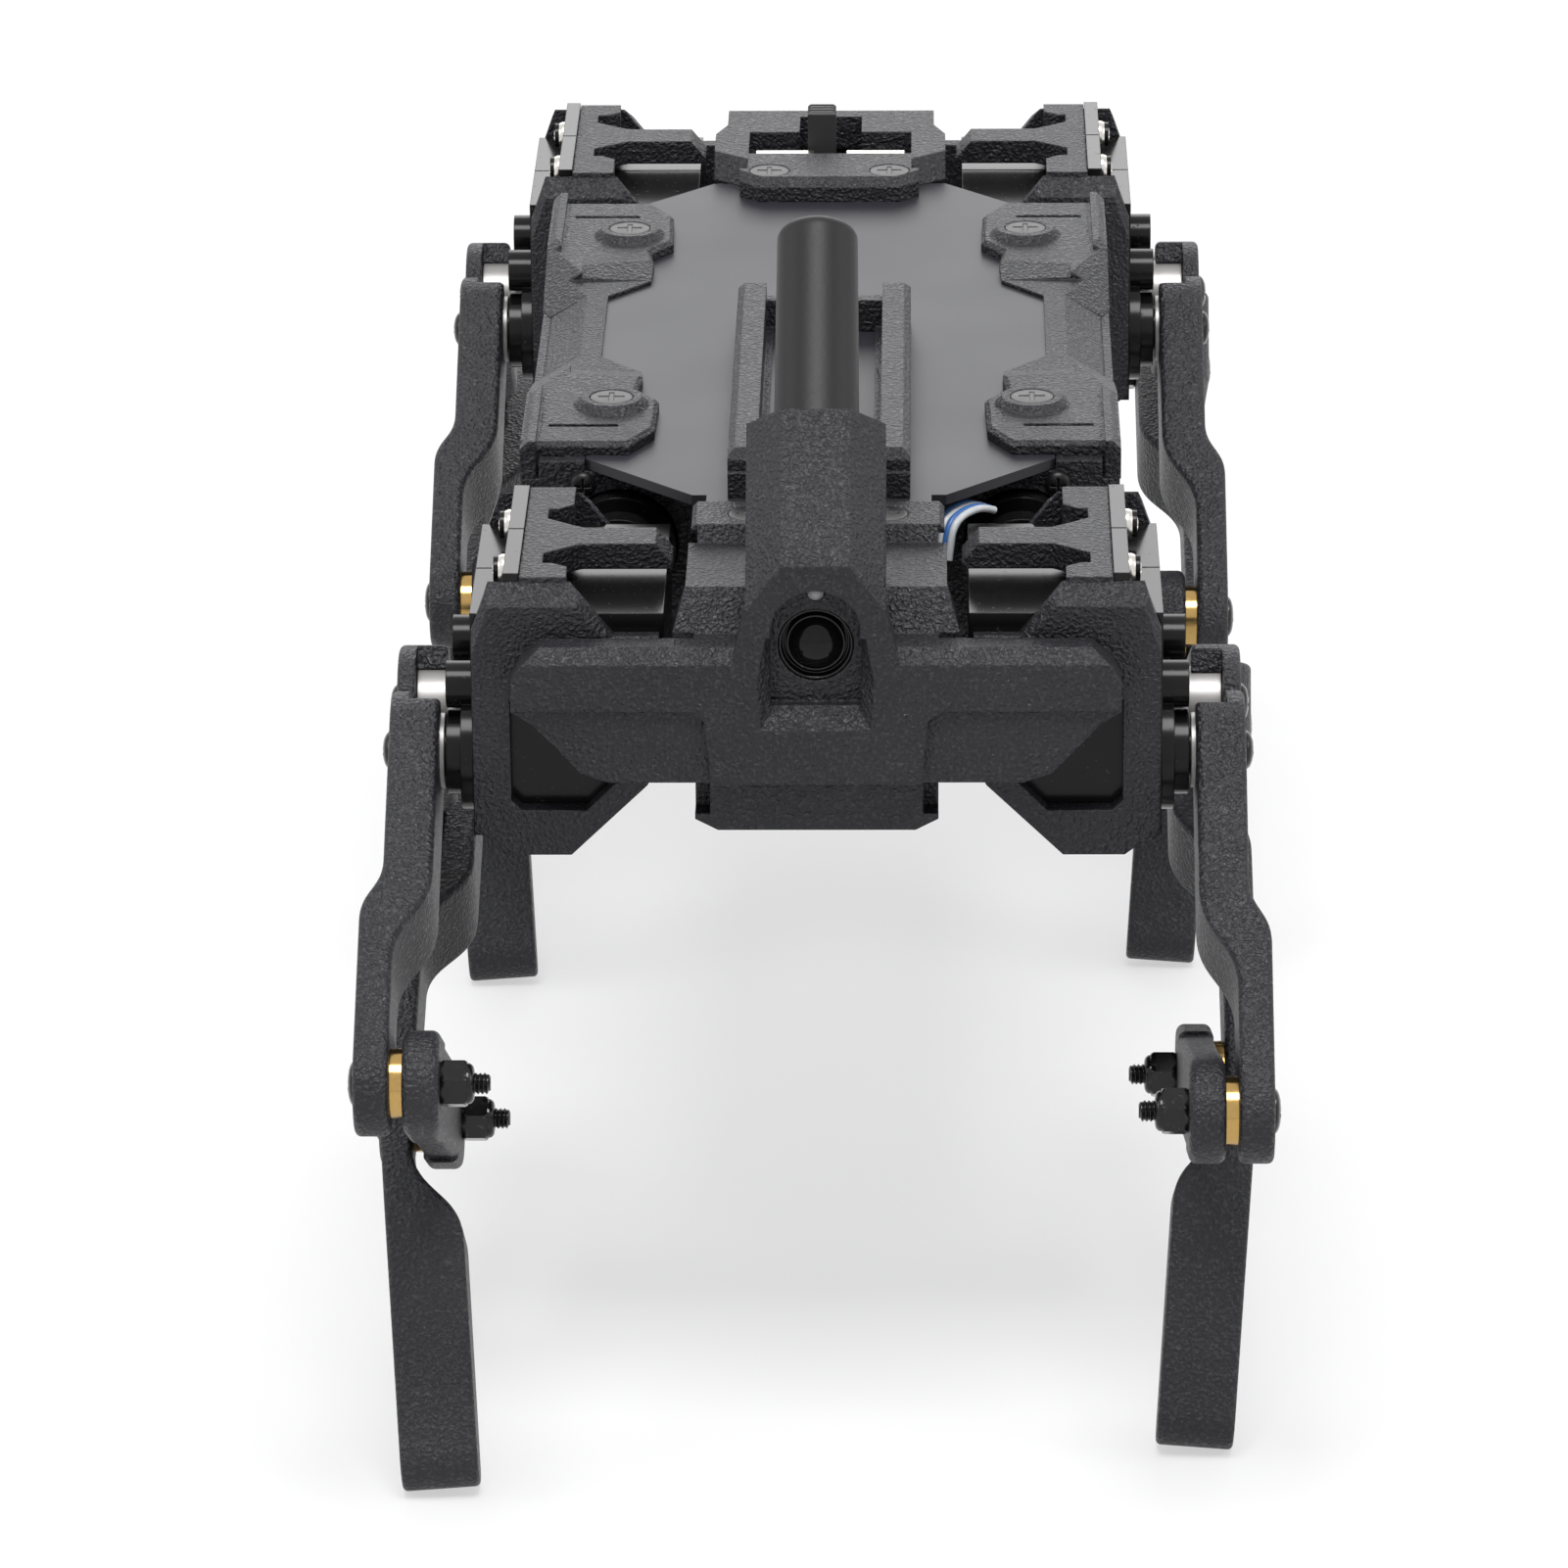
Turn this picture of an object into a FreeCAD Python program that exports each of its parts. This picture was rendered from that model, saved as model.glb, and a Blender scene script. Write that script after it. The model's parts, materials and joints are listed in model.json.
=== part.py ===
import FreeCAD, Part
import math
import os

# Four-legged walking robot, desk size.  Millimetres, +Z up, front of the robot towards -Y,
# soles on Z = 0.  Each leg is a five-bar linkage: two side-by-side servos turn a front and a
# rear crank, a short link and a long shank meet at the ankle pivot, the shank ends in the foot.

os.makedirs("parts", exist_ok=True)
V = FreeCAD.Vector

# ---- driving dimensions ------------------------------------------------------------------
DATUM = 69.0              # height of the body's reference plane above the floor
SERVO_Z = 67.0            # height of the leg servo axes above the floor
AXIS_H = SERVO_Z - DATUM  # the same, above the reference plane
LEG_Y = 62.0              # distance of each leg's centre from the middle of the body
SERVO_PITCH = 12.2        # spacing of a leg's two servo axes
ROLL_X = 19.15            # hip roll axis, left and right of the middle
ROLL_H = 8.0              # hip roll axis above the reference plane
ROLL_R = 3.0              # roll bore
CRANK = 36.9              # servo axis to knee, both cranks
LINK = 35.4               # front knee to ankle pivot
SHANK = 44.6              # rear knee to ankle pivot
FOOT_ALONG = 27.4         # ankle pivot to toe, along the shank
FOOT_DOWN = 18.0          # ankle pivot to toe, square to the shank
TOE_R = 3.0               # rounding of the sole
# where each toe stands, measured forward from its leg's centre (the robot is in mid-step)
TOE_FORWARD = {"front_left": 25.3, "front_right": 16.4, "rear_left": 26.8, "rear_right": 21.9}

BOLT_R = 1.0              # M2 pivot bolts
RUN = 0.05                # radial running clearance
GAP = 0.04                # clearance between faces that rub
BOSS_R = 4.8              # round ends of the links
RING_R = 3.2              # spacer rings in the pivots
SLACK_R = 2.1             # the ankle hole's radius in the short link
SOFT = 0.6                # rounding of the printed bars' edges

# side-to-side stack of a leg, from the middle of the robot outwards
X_CASE0, X_FLANGE0, X_FLANGE1, X_CASE1 = 14.0, 27.25, 28.7, 31.8
X_BASE, X_TOWER, X_SPLINE = 33.0, 34.4, 36.2
X_HORN0, X_HORN1 = 34.6, 37.8
X_HUB0, X_HUB_WALL, X_HUB1 = 35.0, 37.9, 39.6
X_IN0, X_IN1 = 33.85, 37.2            # plane of the short link and of the shank's top
X_OUT0, X_OUT1 = 38.4, 41.6           # plane of the cranks' knees and of the ankle's neck
X_THREAD, X_COLLAR, X_NUT, X_HEAD = 29.35, 30.8, 31.45, 42.3

HUB_R, HORN_R, SPLINE_R, SCREW_HOLE_R = 5.5, 3.5, 2.4, 1.1
PLATE_Z = DATUM + 16.5    # top of the deck plate
PLATE_T = 1.0
BODY_X, BODY_Y = 28.6, 39.5
KEEL_X = 10.0             # half width of the keel that runs between the hips
WALL = 1.6
COVER_SCREW_X = 6.3       # screws of the front and rear covers
RAIL_SCREW = (20.35, 26.8)


def z_(h):
    """Height above the floor of something h above the reference plane."""
    return DATUM + h


# ---- small helpers -------------------------------------------------------------------------
def box(x0, x1, y0, y1, z0, z1):
    return Part.makeBox(x1 - x0, y1 - y0, z1 - z0, V(x0, y0, z0))


def rod(x, y, z, r, length, axis="x"):
    d = {"x": V(1, 0, 0), "y": V(0, 1, 0), "z": V(0, 0, 1)}[axis]
    return Part.makeCylinder(r, length, V(x, y, z), d)


def loop(points):
    return Part.makePolygon(points + [points[0]])


def prism(points, axis, a, b):
    """Closed outline pushed along an axis: (y, z) for x, (x, z) for y, (x, y) for z."""
    place = {"x": lambda p: V(a, p[0], p[1]), "y": lambda p: V(p[0], a, p[1]),
             "z": lambda p: V(p[0], p[1], a)}[axis]
    push = {"x": V(b - a, 0, 0), "y": V(0, b - a, 0), "z": V(0, 0, b - a)}[axis]
    return Part.Face(loop([place(p) for p in points])).extrude(push)


def fuse(shapes):
    out = shapes[0]
    for s in shapes[1:]:
        out = out.fuse(s)
    return out.removeSplitter()


def cut(shape, tools):
    for t in tools:
        shape = shape.cut(t)
    return shape


def both(points):
    """Right-hand half outline, from the middle line outwards and back, made symmetric in x."""
    return points + [(-x, z) for x, z in reversed(points) if x != 0]


def mirror_x(shape):
    return shape.mirror(V(0, 0, 0), V(1, 0, 0))


def mirror_y(shape):
    return shape.mirror(V(0, 0, 0), V(0, 1, 0))


def bevel(shape, size, keep):
    """Chamfer the straight edges whose middle point passes the test."""
    edges = [e for e in shape.Edges if len(e.Vertexes) == 2 and e.Curve.TypeId == "Part::GeomLine"
             and e.Length > 2.2 * size and keep(e.CenterOfMass)]
    return shape.makeChamfer(size, edges) if edges else shape


def soften(shape, size):
    """Round the edges that run along a bar and around its ends, whichever of them allow it."""
    def across(e):
        if e.Curve.TypeId != "Part::GeomLine":
            return False
        d = e.tangentAt(e.FirstParameter)
        return abs(d.y) > 0.99 or abs(d.z) > 0.99
    edges = [e for e in shape.Edges if not across(e)]
    for r in (size, 0.7 * size, 0.4 * size):
        try:
            out = shape.makeFillet(r, edges)
            if out.isValid():
                return out
        except Exception:
            continue
    return shape


def above(a, b, c, size=40.0):
    """Everything on the upper side of the plane through three points."""
    p, q, r = V(*a), V(*b), V(*c)
    n = (q - p).cross(r - p).normalize()
    if n.z < 0:
        n = n * -1
    u = (q - p).normalize()
    v = n.cross(u)
    corners = [p + u * (i * size) + v * (j * size) for i, j in ((-1, -1), (1, -1), (1, 1), (-1, 1))]
    return Part.Face(loop(corners)).extrude(n * size)


def joggle(ends, near, far, inner_bend, outer_bend, half):
    """Side-to-side profile of a bar that steps from one plane to another through smooth
    S-curves, pushed over the bar's whole width.  near and far are (inner, outer) levels."""
    def bend(u0, y0, u1, y1):
        um = (u0 + u1) / 2
        curve = Part.BezierCurve()
        curve.setPoles([V(u0, y0, 0), V(um, y0, 0), V(um, y1, 0), V(u1, y1, 0)])
        return curve.toShape()

    def line(u0, y0, u1, y1):
        return Part.makeLine(V(u0, y0, 0), V(u1, y1, 0))
    (a0, a1), (b0, b1) = near, far
    u0, u1 = ends
    edges = [line(u0, a0, inner_bend[0], a0), bend(inner_bend[0], a0, inner_bend[1], b0),
             line(inner_bend[1], b0, u1, b0), line(u1, b0, u1, b1), line(u1, b1, outer_bend[1], b1),
             bend(outer_bend[1], b1, outer_bend[0], a1), line(outer_bend[0], a1, u0, a1),
             line(u0, a1, u0, a0)]
    solid = Part.Face(Part.Wire(edges)).extrude(V(0, 0, 2 * half))
    solid.translate(V(0, 0, -half))
    return solid


# ---- leg geometry --------------------------------------------------------------------------
def meet(a, ra, b, rb, side):
    """Where circles about a and b cross, in the (y, z) side view; side picks the solution."""
    dy, dz = b[0] - a[0], b[1] - a[1]
    d = math.hypot(dy, dz)
    t = (ra * ra - rb * rb + d * d) / (2 * d)
    h = math.sqrt(ra * ra - t * t)
    return (a[0] + (t * dy - side * h * dz) / d, a[1] + (t * dz + side * h * dy) / d)


def leg_points(centre_y, toe_forward):
    """Pivots of one leg in the side view, solved from where its toe stands."""
    front = (centre_y - SERVO_PITCH / 2, SERVO_Z)
    rear = (centre_y + SERVO_PITCH / 2, SERVO_Z)
    toe = (centre_y - toe_forward, TOE_R)
    reach = math.hypot(SHANK + FOOT_ALONG, FOOT_DOWN)
    knee2 = meet(rear, CRANK, toe, reach, 1)
    ang = math.atan2(toe[1] - knee2[1], toe[0] - knee2[0])
    lean = ang - math.atan2(FOOT_DOWN, SHANK + FOOT_ALONG)
    ankle = (knee2[0] + SHANK * math.cos(lean), knee2[1] + SHANK * math.sin(lean))
    knee1 = meet(front, CRANK, ankle, LINK, -1)
    return {"front": front, "rear": rear, "knee1": knee1, "knee2": knee2, "ankle": ankle,
            "toe": toe}


LEGS = {}
for _name, _toe in TOE_FORWARD.items():
    _cy = -LEG_Y if _name.startswith("front") else LEG_Y
    LEGS[_name] = leg_points(_cy, _toe)

# the origin is half-way along the whole machine
Y_SHIFT = -(min(p["knee1"][0] for p in LEGS.values())
            + max(p["knee2"][0] for p in LEGS.values())) / 2


def lay(shape, a, b):
    """Take a shape drawn with u along +X, v along +Z, side-to-side along +Y, and stand it so
    that u runs from pivot a towards pivot b and its own Y becomes the robot's X."""
    ang = math.degrees(math.atan2(b[1] - a[1], b[0] - a[0]))
    s = shape.mirror(V(0, 0, 0), V(1, -1, 0))
    s.rotate(V(0, 0, 0), V(1, 0, 0), ang)
    s.translate(V(0, a[0], a[1]))
    return s


def bar_outline(length, r0, r1, y0, y1):
    """Tapered bar with round ends, drawn in the u-v plane and pushed from y0 to y1."""
    body = prism([(0, -r0), (length, -r1), (length, r1), (0, r0)], "y", y0, y1)
    return fuse([body, rod(0, y0, 0, r0, y1 - y0, "y"), rod(length, y0, 0, r1, y1 - y0, "y")])


def crank():
    """Crank from servo horn (u = 0) to knee: thin wall over the horn, thick upper part, S-bend
    outwards, thin knee.  The hub's rim is open at the back, towards the other crank."""
    bar = bar_outline(CRANK, HUB_R, BOSS_R, X_HUB0 - 1, X_OUT1 + 1)
    bar = bar.common(joggle((-HUB_R - 2, CRANK + BOSS_R + 2), (X_HUB0, X_HUB1), (X_OUT0, X_OUT1),
                            (16.7, 26.8), (15.5, 22.2), 9))
    bar = soften(bar, SOFT)
    rim_gap = box(-HUB_R - 1, -2.4, X_HUB0 - 1, X_HUB_WALL, -HUB_R - 1, HUB_R + 1)
    return cut(bar, [rod(0, X_HUB0 - 1, 0, HORN_R + 0.1, X_HUB_WALL - X_HUB0 + 1, "y"), rim_gap,
                     rod(0, X_HUB0, 0, SCREW_HOLE_R, 9, "y"),
                     rod(CRANK, X_HUB0, 0, BOLT_R + RUN, 9, "y")])


def horn():
    """Round aluminium servo horn with its splined bore."""
    disc = rod(0, X_HORN0, 0, HORN_R, X_HORN1 - X_HORN0, "y")
    return cut(disc, [rod(0, X_HORN0 - 1, 0, SPLINE_R + RUN, X_SPLINE + RUN - X_HORN0 + 1, "y"),
                      rod(0, X_HORN0, 0, SCREW_HOLE_R, 9, "y")])


def pivot_bolt():
    """M2 pan-head bolt with its nyloc nut; the head is outside, the thread points inwards."""
    corner = 2.0 / math.cos(math.radians(30))
    hexagon = [(corner * math.cos(math.radians(60 * i)), corner * math.sin(math.radians(60 * i)))
               for i in range(6)]
    return fuse([rod(0, X_THREAD, 0, BOLT_R, X_OUT1 - X_THREAD, "y"),
                 rod(0, X_OUT1, 0, 2.05, X_HEAD - X_OUT1, "y"),
                 prism(hexagon, "y", X_NUT, X_IN0 - GAP),
                 rod(0, X_COLLAR, 0, 1.85, X_NUT - X_COLLAR, "y")])


def short_link():
    bar = bar_outline(LINK, BOSS_R, BOSS_R, X_IN0, X_IN1)
    waist = prism([(7, 4.3), (LINK - 7, 4.3), (LINK - 8, 6), (8, 6)], "y", X_IN0 - 1, X_IN1 + 1)
    bar = soften(cut(bar, [waist, waist.mirror(V(0, 0, 0), V(0, 0, 1))]), 0.8)
    return cut(bar, [rod(0, X_IN0 - 1, 0, BOLT_R, 9, "y"), rod(LINK, X_IN0 - 1, 0, SLACK_R, 9, "y")])


def ring(u, hole):
    outer = rod(u, X_IN1, 0, RING_R, X_OUT0 - X_IN1 - GAP, "y")
    return outer.cut(rod(u, X_IN1 - 1, 0, hole, 9, "y"))


def link_rings():
    return Part.makeCompound([ring(0, BOLT_R), ring(LINK, SLACK_R)])


def shank():
    """Knee boss in the inner plane, S-bend outwards to the ankle, then the foot blade, which
    turns down at the ankle, widens inwards below it and leans in towards the toe."""
    neck_r = 4.4
    upper = bar_outline(SHANK, BOSS_R, neck_r, X_IN0 - 1, X_OUT1 + 1)
    upper = upper.common(joggle((-BOSS_R - 2, SHANK + neck_r + 2), (X_IN0, X_IN1), (X_OUT0, X_OUT1),
                                (13.0, 24.0), (9.0, 20.0), 8))
    upper = soften(upper, SOFT)
    # the blade is drawn with s along its own length and laid along ankle-to-toe afterwards
    length = math.hypot(FOOT_ALONG, FOOT_DOWN)
    lean_in, blade_w = 2.4, 7.3
    outline = prism([(-1, -4.2), (10, -4.4), (length, -TOE_R), (length, TOE_R), (10, 4.4),
                     (-1, 4.2)], "y", 28.0, X_OUT1)
    outline = fuse([outline, rod(length, 28.0, 0, TOE_R, X_OUT1 - 28.0, "y")])
    tip = length + TOE_R
    slope = lean_in / length
    neck_in = X_OUT0 + 0.35       # clear of the ankle's ring although the blade leans
    profile = joggle((-1.5, tip + 1), (neck_in, X_OUT1), (X_OUT1 - blade_w, X_OUT1),
                     (3.6, 13.0), (0.0, 0.5), 8)
    blade = outline.common(profile)
    # lean: shear by tilting the blade about the ankle
    blade.rotate(V(0, X_OUT1, 0), V(0, 0, 1), -math.degrees(math.atan(slope)))
    blade = soften(blade, 0.5)
    blade = blade.common(box(-9, tip + 9, 20, X_OUT1, -9, 9))
    blade.rotate(V(0, 0, 0), V(0, 1, 0), -math.degrees(math.atan2(FOOT_DOWN, FOOT_ALONG)))
    blade.translate(V(SHANK, 0, 0))
    spacer = rod(0, X_IN1, 0, RING_R, X_OUT0 - X_IN1 - GAP, "y")
    body = fuse([upper, blade, spacer])
    return cut(body, [rod(u, X_IN0 - 1, 0, BOLT_R, 12, "y") for u in (0, SHANK)])


def shank_bolts():
    ankle = pivot_bolt()
    ankle.translate(V(SHANK, 0, 0))
    return Part.makeCompound([pivot_bolt(), ankle])


# ---- hip: bracket and its two servos (right side, centred on y = 0, heights from the
# ---- reference plane, the fingers and holes of the comb lie a little towards the body's end)
B_OUT = 31.6
B_Y = 14.0
B_BOT, B_TOP = -9.3, 17.4
CASE_BOT, CASE_TOP = -8.1, 13.8
FLANGE_BOT, FLANGE_TOP = -9.4, 17.7
COMB_Y = -1.1             # middle of the comb
FLANGE_SCREW_H = 15.9


def servo_case(y):
    """Leg servo: case, flange with its screws, stepped output tower beside the small gear
    boss, and the output spline."""
    half = 6.0
    case = prism([(X_CASE0, -1.2), (21.6, CASE_BOT), (X_CASE1, CASE_BOT), (X_CASE1, CASE_TOP),
                  (X_CASE0, CASE_TOP)], "y", y - half, y + half)
    flange = box(X_FLANGE0, X_FLANGE1, y - half, y + half, FLANGE_BOT, FLANGE_TOP)
    plateau = rod(X_CASE1 - 0.2, y, AXIS_H, 5.5, X_BASE - X_CASE1 + 0.2)
    lobe = rod(X_CASE1 - 0.2, y, AXIS_H, 4.1, X_TOWER - X_CASE1 + 0.2)
    gear = rod(X_CASE1 - 0.2, y, AXIS_H + 6.6, 2.2, X_TOWER - X_CASE1 + 0.2)
    spline = rod(X_TOWER - 0.1, y, AXIS_H, SPLINE_R, X_SPLINE - X_TOWER + 0.1)
    screw = rod(X_FLANGE1, y, FLANGE_SCREW_H, 1.3, 1.1)
    return fuse([case, flange, plateau, lobe, gear, spline, screw])


def leg_servos():
    return Part.makeCompound([servo_case(-SERVO_PITCH / 2), servo_case(SERVO_PITCH / 2)])


def hip_bracket():
    """Moulded cage round the two servos: a front and a rear wall joined by a floor and a
    comb-shaped top; it turns about the roll bores in its end walls."""
    wall = [(B_OUT, -6.9), (28.4, B_BOT), (22.7, B_BOT), (15.6, -2.4), (14.4, 0.0), (14.4, 12.0),
            (18.6, 12.0), (22.9, B_TOP), (29.9, B_TOP), (B_OUT, 12.5)]
    shell = prism(wall, "y", -B_Y, B_Y)
    shell = bevel(shell, 2.3, lambda c: abs(c.y) > B_Y - 0.1 and c.z > B_TOP - 0.1)
    shell = bevel(shell, 0.7, lambda c: abs(c.y) > B_Y - 0.1 and 5 < c.z < 15)
    room = 12.15
    inside = box(5.0, 40.0, -room, room, CASE_BOT - 0.05, 40.0)
    flange_slot = box(X_FLANGE0 - 0.05, 40.0, -room, room, FLANGE_BOT - 0.05, 40.0)
    shell = cut(shell, [inside, flange_slot])
    # top comb: a bar along the flanges, its two ends, and one finger in between the servos
    z1 = CASE_TOP + 1.1
    bar = box(25.2, X_FLANGE0 - 0.05, -12.3, 12.3, z1, B_TOP)
    c = COMB_Y
    finger = prism([(25.4, z1), (13.4, z1), (13.4, z1 + 0.6), (15.0, B_TOP), (25.4, B_TOP)], "y",
                   c - 2.2, c + 2.2)
    ends = [prism([(25.4, c + s * 4.9), (23.2, c + s * 3.2), (21.6, c + s * 2.1),
                   (25.4, c + s * 2.1)], "z", z1, B_TOP) for s in (-1, 1)]
    walls = [prism([(25.4, y0), (24.3, y0), (22.9, y1), (22.9, y2), (25.4, y2)], "z", z1, B_TOP)
             for y0, y1, y2 in ((c + 7.4, c + 8.6, 12.3), (c - 7.4, c - 8.4, -12.3))]
    shell = fuse([shell, bar, finger] + ends + walls)
    # lower windows that show the servo's face
    window = [(28.2, 6.0), (28.2, -3.9), (27.2, -4.9), (21.2, -4.9), (18.2, -1.9), (18.2, 1.0),
              (23.2, 6.0)]
    windows = [prism(window, "y", y0, y1) for y0, y1 in ((-B_Y - 1, -11.0), (11.0, B_Y + 1))]
    bores = [rod(ROLL_X, y, ROLL_H, ROLL_R, 2.4, "y") for y in (-B_Y - 0.4, B_Y - 2.0)]
    return cut(shell, windows + bores)


# ---- body ----------------------------------------------------------------------------------
def body_frame():
    """Tub between the legs with a narrow keel that runs on under the front and rear covers."""
    floor_h, room_h = -4.6, -3.0
    tub = [(BODY_X, z_(14.6)), (BODY_X, z_(1.5)), (24.5, z_(floor_h)), (9.0, z_(floor_h))]
    shell = prism(both(tub), "y", -BODY_Y, BODY_Y)
    room = [(BODY_X - WALL, z_(20)), (BODY_X - WALL, z_(2.1)), (23.8, z_(room_h)), (8.0, z_(room_h))]
    shell = shell.cut(prism(both(room), "y", -BODY_Y + WALL, BODY_Y - WALL))
    keel = prism(both([(KEEL_X, z_(15.4)), (KEEL_X, z_(floor_h))]), "y", -71.6, 70.0)
    keel_room = prism(both([(KEEL_X - WALL, z_(20)), (KEEL_X - WALL, z_(room_h))]), "y", -69.8, 68.4)
    # screw blocks that carry the ends of the side rails
    blocks = []
    for s in (-1, 1):
        for e in (-1, 1):
            y0, y1 = sorted((e * (BODY_Y - WALL + 0.15), e * BODY_Y))
            for a, top in ((20.2, 15.4), (22.5, 16.4)):
                x0, x1 = sorted((s * a, s * 26.9))
                blocks.append(box(x0, x1, y0, y1, z_(12.0), z_(top)))
    frame = fuse([shell, keel] + blocks).cut(keel_room)
    # slanted vents through the flanks
    cuts = []
    for y in (-30.0, -18.0, -6.0, 6.0, 18.0, 30.0):
        cuts.append(prism([(y - 4.4, z_(4.0)), (y + 2.4, z_(4.0)), (y + 4.4, z_(9.6)),
                           (y - 2.4, z_(9.6))], "x", -40, 40))
    # holes for the hip servos' towers
    for s in (-1, 1):
        for y in (-BODY_Y - 1, BODY_Y - WALL - 1):
            cuts.append(rod(s * ROLL_X, y, z_(ROLL_H), 5.6, WALL + 2, "y"))
    return cut(frame, cuts)


def hip_servo(x, y, facing):
    """Roll servo lying along the body; its tower, horn disc and pivot point at the hip bracket."""
    def along(a, b, r):
        y0, y1 = sorted((y + facing * a, y + facing * b))
        return rod(x, y0, z_(ROLL_H), r, y1 - y0, "y")

    def block(a, b, top):
        y0, y1 = sorted((y + facing * a, y + facing * b))
        return box(x - 6.0, x + 6.0, y0, y1, z_(-2.9), z_(top))
    reach = LEG_Y - (SERVO_PITCH / 2 + 6.0) - abs(y) - 0.2
    return fuse([block(-20.0, 0.0, 13.4), block(-5.6, -3.4, 14.4), along(-0.2, 3.6, 5.4),
                 along(3.4, 6.0, SPLINE_R), along(5.2, 7.6, 4.6), along(7.4, reach, ROLL_R - RUN)])


def hip_servos():
    seat = BODY_Y - WALL - 0.1
    return Part.makeCompound([hip_servo(s * ROLL_X, f * seat, f) for s in (-1, 1) for f in (-1, 1)])


def battery():
    pack = box(-8.2, 8.2, -24, 30, z_(-2.9), z_(9.0))
    return pack.makeFillet(1.6, [e for e in pack.Edges if abs(e.tangentAt(e.FirstParameter).y) > 0.9])


def control_board():
    board = box(-8.3, 8.3, -44, 40, z_(10.2), z_(11.4))
    parts = [board, box(-5, 5, -20, -10, z_(11.4), z_(12.4)), box(-8, -3, 6, 24, z_(11.4), z_(13.6)),
             box(3, 8, 4, 22, z_(11.4), z_(13.6)), box(-6, 6, 28, 36, z_(11.4), z_(13.0))]
    return fuse(parts)


def top_plate():
    half = [(0, -60.0), (10.6, -60.0), (10.6, -49.4), (12.0, -49.4), (22.4, -39.0), (22.4, 38.0),
            (12.2, 48.6), (10.6, 48.6), (10.6, 53.0), (0, 53.0)]
    plate = prism(both(half), "z", PLATE_Z - PLATE_T, PLATE_Z)
    spots = [(COVER_SCREW_X, -57.0), (COVER_SCREW_X, 45.3), RAIL_SCREW, (RAIL_SCREW[0], -RAIL_SCREW[1])]
    return cut(plate, [rod(s * x, y, PLATE_Z - 3, 1.05, 6, "z") for s in (-1, 1) for x, y in spots])


def deck_frame():
    """Two raised rails joined at the back by a cross bar; caps at the front ends."""
    z0, z1 = PLATE_Z, PLATE_Z + 4.7
    rail = prism([(-50.2, z0), (-50.2, z1 - 1.0), (-49.2, z1), (0.6, z1), (1.6, z1 - 1.0), (1.6, z0)],
                 "x", 5.8, 8.6)
    rail = bevel(rail, 0.7, lambda c: c.z > z1 - 0.1 and c.x > 8.5)
    cap = prism([(-50.4, z0), (-50.4, z1 - 2.2), (-48.0, z1 - 0.6), (-45.5, z1 - 0.6), (-44.5, z0)],
                "x", 4.0, 8.6)
    bar = prism([(-0.8, z0), (-0.8, z1 - 1.4), (0.8, z1 - 1.4), (1.6, z1 - 2.2), (1.6, z0)],
                "x", -8.6, 8.6)
    lips = [box(s * 5.5 - 0.4, s * 5.5 + 0.4, -46.0, 0.0, z0, z0 + 0.5) for s in (-1, 1)]
    return fuse([rail, mirror_x(rail), cap, mirror_x(cap), bar] + lips)


def side_rail():
    """Cover along one edge of the deck (right side): a low faceted beam, narrow in the middle,
    with a bolted tab at each end; a groove and a round screw boss mark each tab."""
    out, tab_h, strip_h = 28.7, 17.8, 16.9
    half = [(out, 38.0), (18.3, 38.0), (16.0, 33.6), (15.8, 25.1), (18.0, 21.8), (17.6, 18.3),
            (17.8, 14.5), (22.0, 9.5)]
    outline = half + [(x, -y) for x, y in reversed(half)]
    slab = prism(outline, "z", PLATE_Z, z_(tab_h))
    slab = bevel(slab, 0.45, lambda c: c.z > z_(tab_h) - 0.1 and abs(c.y) > 20 and c.x < 28)
    beam = box(22.6, out, -38.0, 38.0, z_(14.6), PLATE_Z)
    skirts = [bevel(box(27.2, out, y0, y1, z_(14.6), z_(18.4)), 0.8,
                    lambda c: c.x > out - 0.1 and c.z > z_(18.3))
              for y0, y1 in ((-39.5, -22.0), (22.0, 39.5))]
    rail = fuse([slab, beam] + skirts)
    # facets that lower the waist
    waist = box(15.0, 30.0, -14.5, 14.5, z_(strip_h), z_(30))
    outer = prism([(24.1, z_(strip_h)), (28.9, z_(13.95)), (30, z_(13.95)), (30, z_(19)),
                   (24.1, z_(19))], "y", -9.5, 9.5)
    slope = above((23.6, 17.4, z_(tab_h)), (17.7, 18.5, z_(tab_h)), (17.8, 14.5, z_(strip_h)))
    slope = slope.common(box(15, 24.8, 14.4, 19.0, z_(16), z_(19)))
    turn = above((27.8, 21.6, z_(tab_h)), (24.1, 9.5, z_(strip_h)), (28.9, 9.2, z_(14.0)))
    turn = turn.common(box(22.0, 30.0, 9.4, 25.0, z_(13), z_(19)))
    rail = cut(rail, [waist, outer, slope, mirror_y(slope), turn, mirror_y(turn)])
    x, y = RAIL_SCREW
    boss_h = 18.6
    bosses = [Part.makeCone(3.7, 2.9, boss_h - tab_h, V(x, s * y, z_(tab_h)), V(0, 0, 1))
              for s in (-1, 1)]
    rail = fuse([rail] + bosses)
    tools = []
    for s in (-1, 1):
        tools.append(rod(x, s * y, PLATE_Z - 2, 1.05, 10, "z"))
        tools.append(Part.makeCone(1.1, 2.2, 1.2, V(x, s * y, z_(boss_h) - 1.2), V(0, 0, 1)))
        tools.append(box(19.5, 26.2, s * 33.0 - 0.4, s * 33.0 + 0.4, z_(tab_h) - 0.8, z_(22)))
    return cut(rail, tools)


MAST_TILT = 45.0
MAST_FOOT = (-75.3, 16.5)      # a point of the mast's axis, (y, height)
MAST_L = 15.4
MAST_BORE = 3.97
MAST_SINK = 7.0                # how deep the antenna stands in the mast
NOSE_Y = -80.0                 # front of the machine's face


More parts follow.
